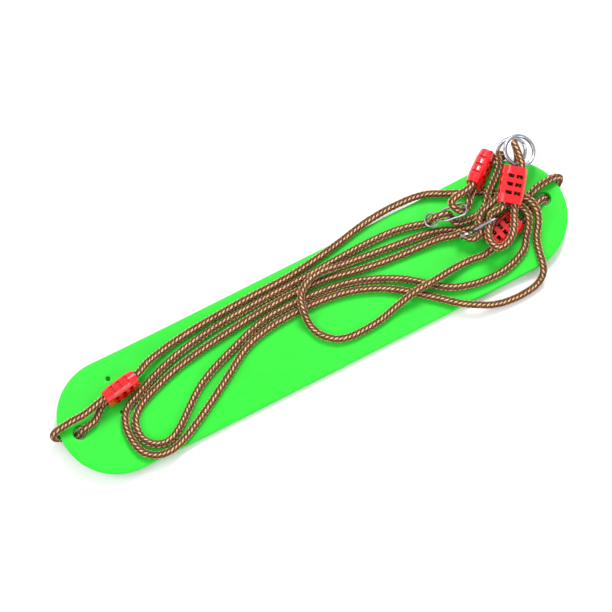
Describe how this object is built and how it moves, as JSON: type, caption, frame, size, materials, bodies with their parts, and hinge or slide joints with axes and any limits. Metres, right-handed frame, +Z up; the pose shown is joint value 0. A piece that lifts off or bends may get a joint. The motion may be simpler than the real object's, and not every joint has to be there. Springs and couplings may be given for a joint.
{
  "type": "strip swing seat",
  "caption": "Green flexible strip swing seat with two brown braided ropes laid on it, red clamp sleeves, steel hanging rings and wire adjusters.",
  "frame": {"origin": "centre of the seat's underside, at the bottom of the seat's box", "axes": "+X along the seat, +Y across it, +Z up, away from the surface it lies on"},
  "size_m": [0.692, 0.1821, 0.0651],
  "materials": {
    "seat_foam": "satin",
    "rope": "matte",
    "sleeve_plastic": "glossy",
    "plated_steel": "bright"
  },
  "bodies": {
    "seat_and_ropes": {"seat": "seat_foam", "rope_left": "rope", "rope_right": "rope", "seat_sleeve_left_upper": "sleeve_plastic", "seat_sleeve_left_lower": "sleeve_plastic", "seat_sleeve_right_upper": "sleeve_plastic", "seat_sleeve_right_lower": "sleeve_plastic", "ring_sleeve_a_upper": "sleeve_plastic", "ring_sleeve_a_lower": "sleeve_plastic", "ring_sleeve_b_upper": "sleeve_plastic", "ring_sleeve_b_lower": "sleeve_plastic", "adjuster_a": "plated_steel", "adjuster_b": "plated_steel"},
    "ring_a": {"ring_a": "plated_steel"},
    "ring_b": {"ring_b": "plated_steel"}
  },
  "joints": [
    {"name": "ring_a_turn", "type": "hinge", "parent": "seat_and_ropes", "child": "ring_a", "pos_m": [0.302, 0.067, 0.0277], "axis": [-0.4455, 0.227, 0.866], "range_deg": [0, 180]},
    {"name": "ring_b_swing", "type": "hinge", "parent": "seat_and_ropes", "child": "ring_b", "pos_m": [0.2981, 0.0452, 0.0474], "axis": [0.8592, -0.4411, -0.2591], "range_deg": [0, 80]}
  ]
}
